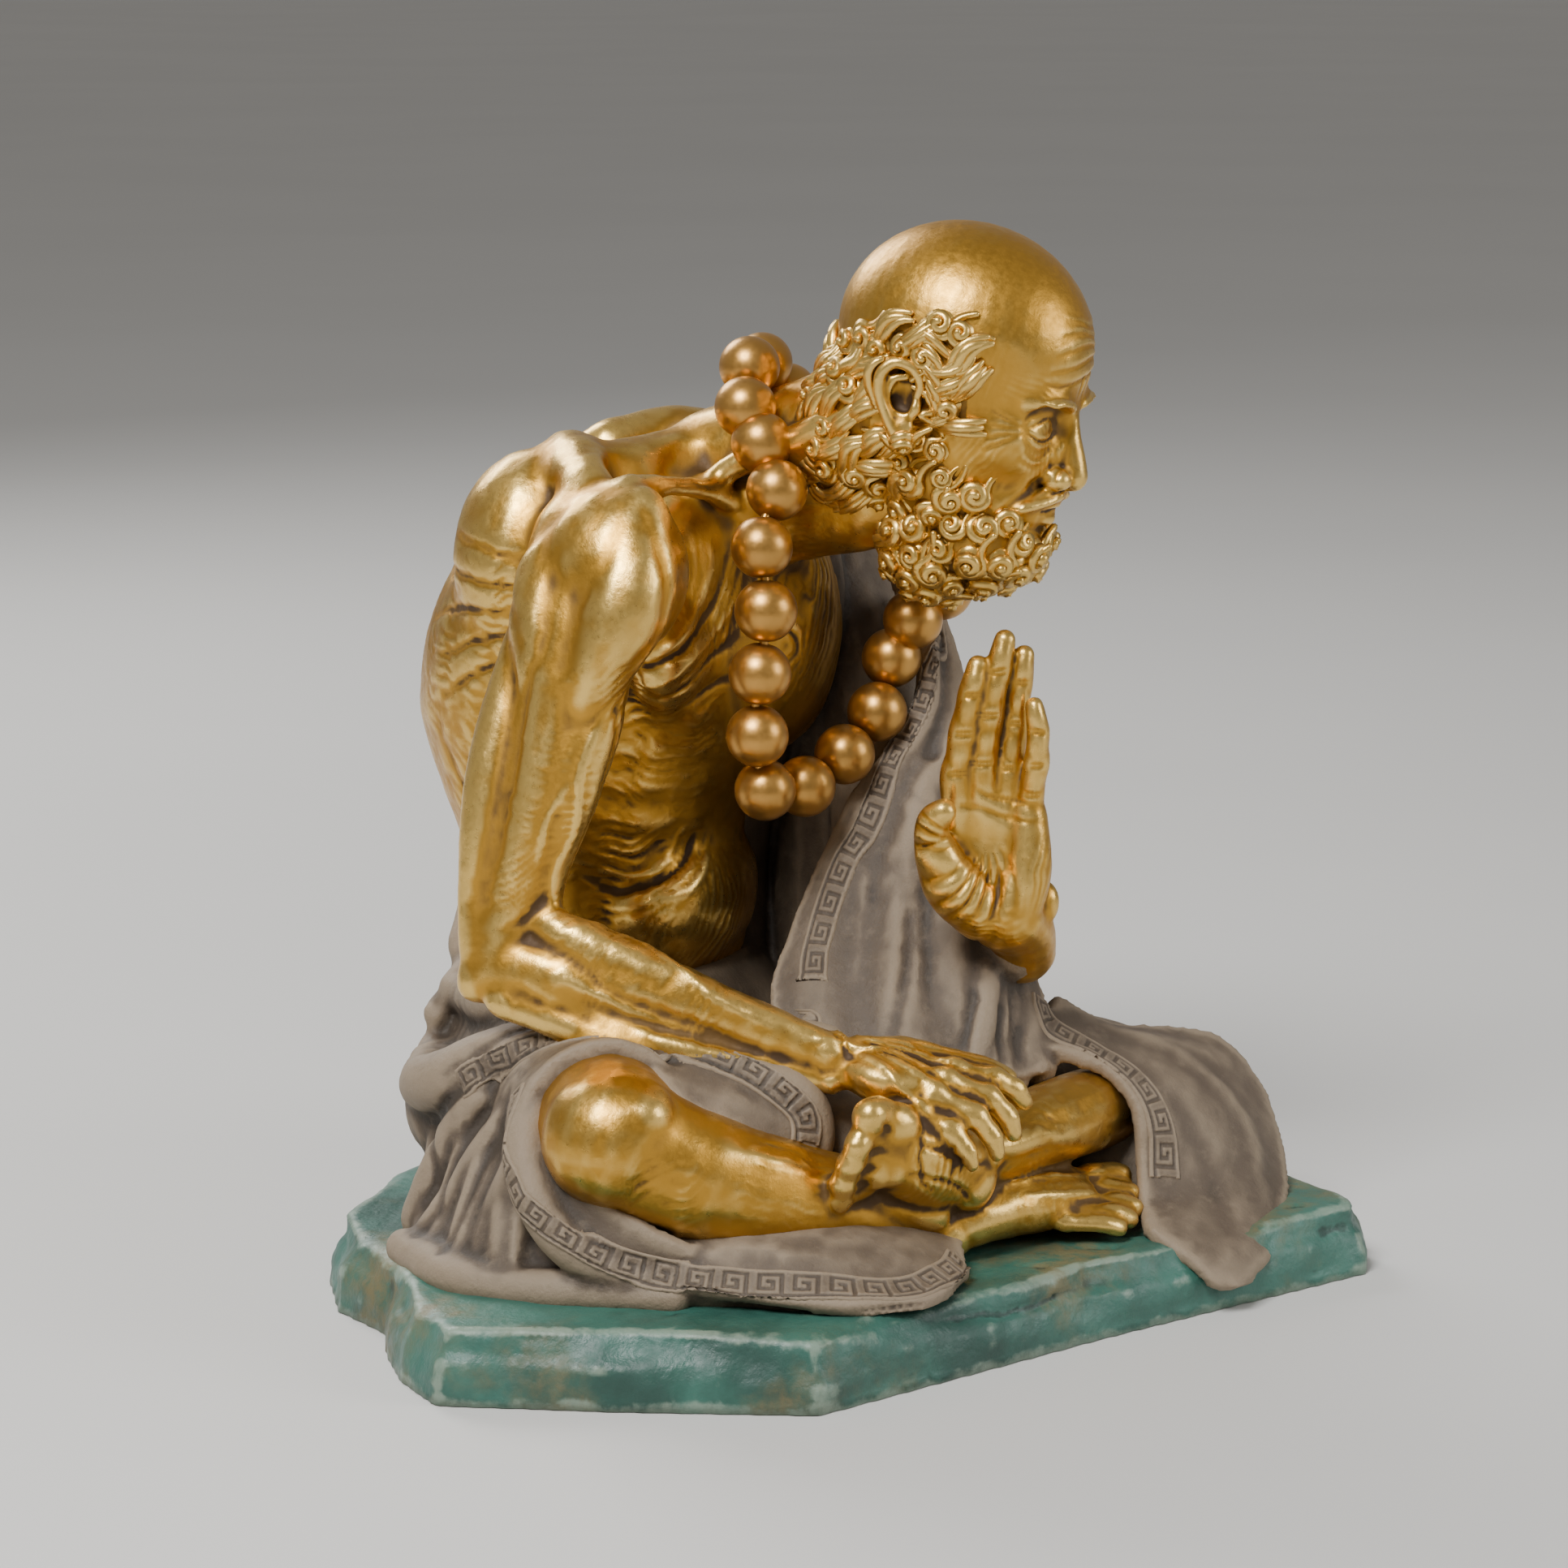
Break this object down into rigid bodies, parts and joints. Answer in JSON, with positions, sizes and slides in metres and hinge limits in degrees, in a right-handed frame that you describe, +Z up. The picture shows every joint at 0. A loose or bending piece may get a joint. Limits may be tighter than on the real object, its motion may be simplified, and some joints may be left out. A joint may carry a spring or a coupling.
{
  "type": "seated bodhidharma statue",
  "caption": "Seated, bowed ascetic with bare right shoulder, raised left hand, draped robe and string of large beads, fixed on a flat rock base",
  "frame": {"origin": "middle of the underside's bounding box, on the surface that the rock base stands on", "axes": "+Z up, the crossed legs face -Y, +X is the figure's left"},
  "size_m": [0.202, 0.179, 0.2115],
  "materials": {
    "painted_rock": "cold-painted resin, satin blue-green with ochre veins and worn pale edges",
    "antique_gold": "antique gold paint with dark recesses",
    "robe_cloth": "matt grey-brown paint with dry-brushed highlights",
    "copper_gold": "satin copper-gold paint"
  },
  "bodies": {
    "root": {"rock_base": "painted_rock", "monk_figure": "antique_gold", "prayer_beads": "copper_gold"}
  },
  "joints": []
}
